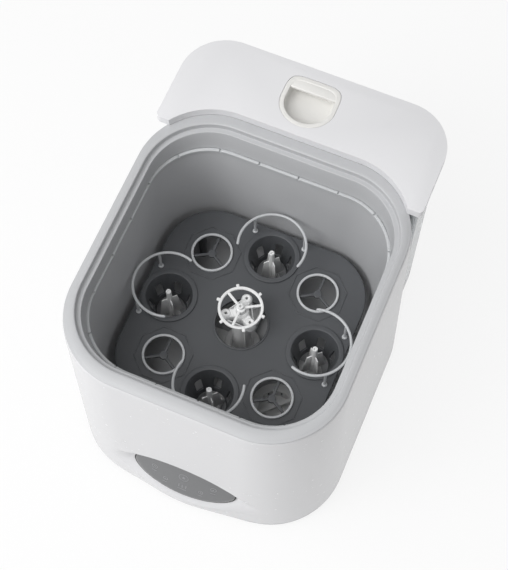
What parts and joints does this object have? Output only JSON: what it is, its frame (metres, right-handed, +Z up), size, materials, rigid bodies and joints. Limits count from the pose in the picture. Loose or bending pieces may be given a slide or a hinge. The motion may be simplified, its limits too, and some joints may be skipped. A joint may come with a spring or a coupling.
{
  "type": "bottle washing machine",
  "caption": "Countertop bottle washer: round-cornered tub with a bottle rack, upright spray jets and a centre spray tower, round rim, front touch panel and a lift-off rear water tank.",
  "frame": {"origin": "on the surface that the machine stands on, under the middle of its box", "axes": "+X to the machine's right seen from the front, +Y to the back where the water tank is, +Z up"},
  "size_m": [0.3, 0.402, 0.298],
  "materials": {
    "white_gloss": "glossy white moulded plastic",
    "rim_grey": "satin light grey plastic",
    "seal_grey": "soft pale grey silicone",
    "tub_grey": "satin grey plastic",
    "rack_grey": "satin dark grey plastic",
    "hoop_grey": "satin light grey plastic",
    "moulded_white": "smooth white plastic",
    "tank_clear": "clear pale plastic",
    "cover_frosted": "frosted pale plastic",
    "warm_white": "smooth warm white plastic",
    "panel_glass": "dark glossy touch panel",
    "board_green": "green circuit board",
    "foot_rubber": "grey rubber",
    "grey_moulded": "grey moulded plastic",
    "black_moulded": "black moulded plastic",
    "hose_clear": "milky silicone hose",
    "filter_pad": "pale pleated filter pad",
    "steel": "plain steel"
  },
  "bodies": {
    "machine": {"outer_shell": "white_gloss", "tank_shelf": "white_gloss", "rim_frame": "rim_grey", "lip_seal": "seal_grey", "wash_tub": "tub_grey", "water_manifold": "moulded_white", "spray_tower": "moulded_white", "spray_crown": "moulded_white", "bottle_jet_1": "moulded_white", "bottle_jet_2": "moulded_white", "bottle_jet_3": "moulded_white", "bottle_jet_4": "moulded_white", "control_panel": "panel_glass", "control_board": "board_green", "power_board": "board_green", "foot_1": "foot_rubber", "foot_2": "foot_rubber", "foot_3": "foot_rubber", "foot_4": "foot_rubber", "base_tray": "grey_moulded", "wash_pump_case": "grey_moulded", "wash_pump_motor": "steel", "drain_pump_case": "grey_moulded", "drain_pump_motor": "steel", "sump_cup": "grey_moulded", "drain_spigot": "grey_moulded", "air_duct": "grey_moulded", "fan_case": "black_moulded", "power_inlet": "black_moulded", "fill_tube": "hose_clear", "drain_hose": "hose_clear", "steam_heater": "steel", "base_screw_1": "steel", "base_screw_2": "steel", "base_screw_3": "steel", "base_screw_4": "steel"},
    "rotor": {"spray_rotor": "moulded_white"},
    "rack": {"bottle_rack": "rack_grey", "bottle_cup_1": "rack_grey", "bottle_cup_2": "rack_grey", "bottle_cup_3": "rack_grey", "bottle_cup_4": "rack_grey", "bottle_hoop_1": "hoop_grey", "bottle_hoop_2": "hoop_grey", "bottle_hoop_3": "hoop_grey", "bottle_hoop_4": "hoop_grey", "corner_ring_1": "hoop_grey", "corner_ring_2": "hoop_grey", "corner_ring_3": "hoop_grey", "corner_ring_4": "hoop_grey"},
    "tank": {"tank_body": "tank_clear"},
    "cover": {"tank_cover": "cover_frosted", "tank_handle": "warm_white"},
    "valve": {"tank_valve": "moulded_white"},
    "wash_wheel": {"wash_impeller": "moulded_white"},
    "drain_wheel": {"drain_impeller": "moulded_white"},
    "blower": {"fan_wheel": "grey_moulded"},
    "filter": {"sump_filter": "moulded_white"},
    "side_door": {"air_door": "white_gloss", "air_filter": "filter_pad"}
  },
  "joints": [
    {"name": "rotor_spin", "type": "hinge", "parent": "machine", "child": "rotor", "pos_m": [0, -0.028, 0.1686], "axis": [0, 0, 1], "continuous": true},
    {"name": "rack_lift", "type": "slide", "parent": "machine", "child": "rack", "axis": [0, 0, 1], "range_m": [0, 0.2]},
    {"name": "tank_lift", "type": "slide", "parent": "machine", "child": "tank", "axis": [0, 0, 1], "range_m": [0, 0.12]},
    {"name": "cover_lift", "type": "slide", "parent": "tank", "child": "cover", "axis": [0, 0, 1], "range_m": [0, 0.06]},
    {"name": "valve_lift", "type": "slide", "parent": "tank", "child": "valve", "axis": [0, 0, 1], "range_m": [0, 0.002]},
    {"name": "wash_impeller_spin", "type": "hinge", "parent": "machine", "child": "wash_wheel", "pos_m": [0, -0.028, 0.0495], "axis": [0, 0, 1], "continuous": true},
    {"name": "drain_impeller_spin", "type": "hinge", "parent": "machine", "child": "drain_wheel", "pos_m": [0.06, -0.078, 0.0395], "axis": [0, 0, 1], "continuous": true},
    {"name": "fan_spin", "type": "hinge", "parent": "machine", "child": "blower", "pos_m": [-0.088, -0.078, 0.0123], "axis": [0, 0, 1], "continuous": true},
    {"name": "filter_twist", "type": "hinge", "parent": "machine", "child": "filter", "pos_m": [0.06, -0.078, 0.0783], "axis": [0, 0, 1], "range_deg": [0, 35]},
    {"name": "air_door_slide", "type": "slide", "parent": "machine", "child": "side_door", "axis": [-1, 0, 0], "range_m": [0, 0.03]}
  ]
}
